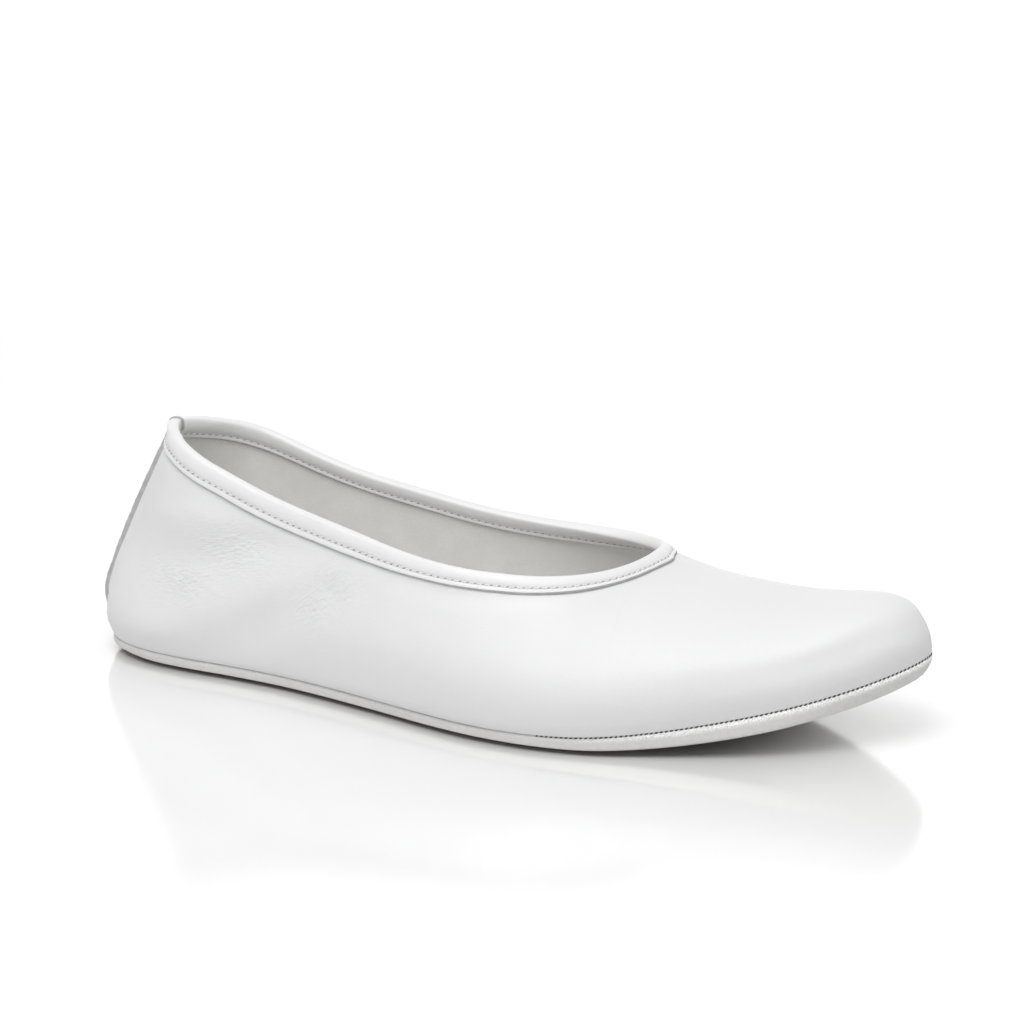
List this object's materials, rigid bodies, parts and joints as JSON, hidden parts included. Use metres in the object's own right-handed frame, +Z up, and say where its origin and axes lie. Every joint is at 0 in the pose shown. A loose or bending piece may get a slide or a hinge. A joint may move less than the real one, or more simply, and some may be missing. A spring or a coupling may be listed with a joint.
{
  "type": "folk dance shoe",
  "caption": "Soft leather slip-on folk dance shoe for the right foot: plain closed upper, bound foot opening, raised back seam and thin flexible sole with toe spring.",
  "frame": {"origin": "middle of the bounding box in plan, on the floor under the sole", "axes": "+X from the heel to the toe, +Y to the medial (inner) side of the foot, +Z up"},
  "size_m": [0.2602, 0.0886, 0.0736],
  "materials": {
    "sole_leather": "matt, slightly fibrous cut edge",
    "upper_leather": "smooth white nappa, soft sheen",
    "insole_cloth": "matt lining cloth",
    "binding_leather": "smooth white, satin"
  },
  "bodies": {
    "root": {"outsole": "sole_leather", "upper": "upper_leather", "insole": "insole_cloth", "collar_binding": "binding_leather"}
  },
  "joints": []
}
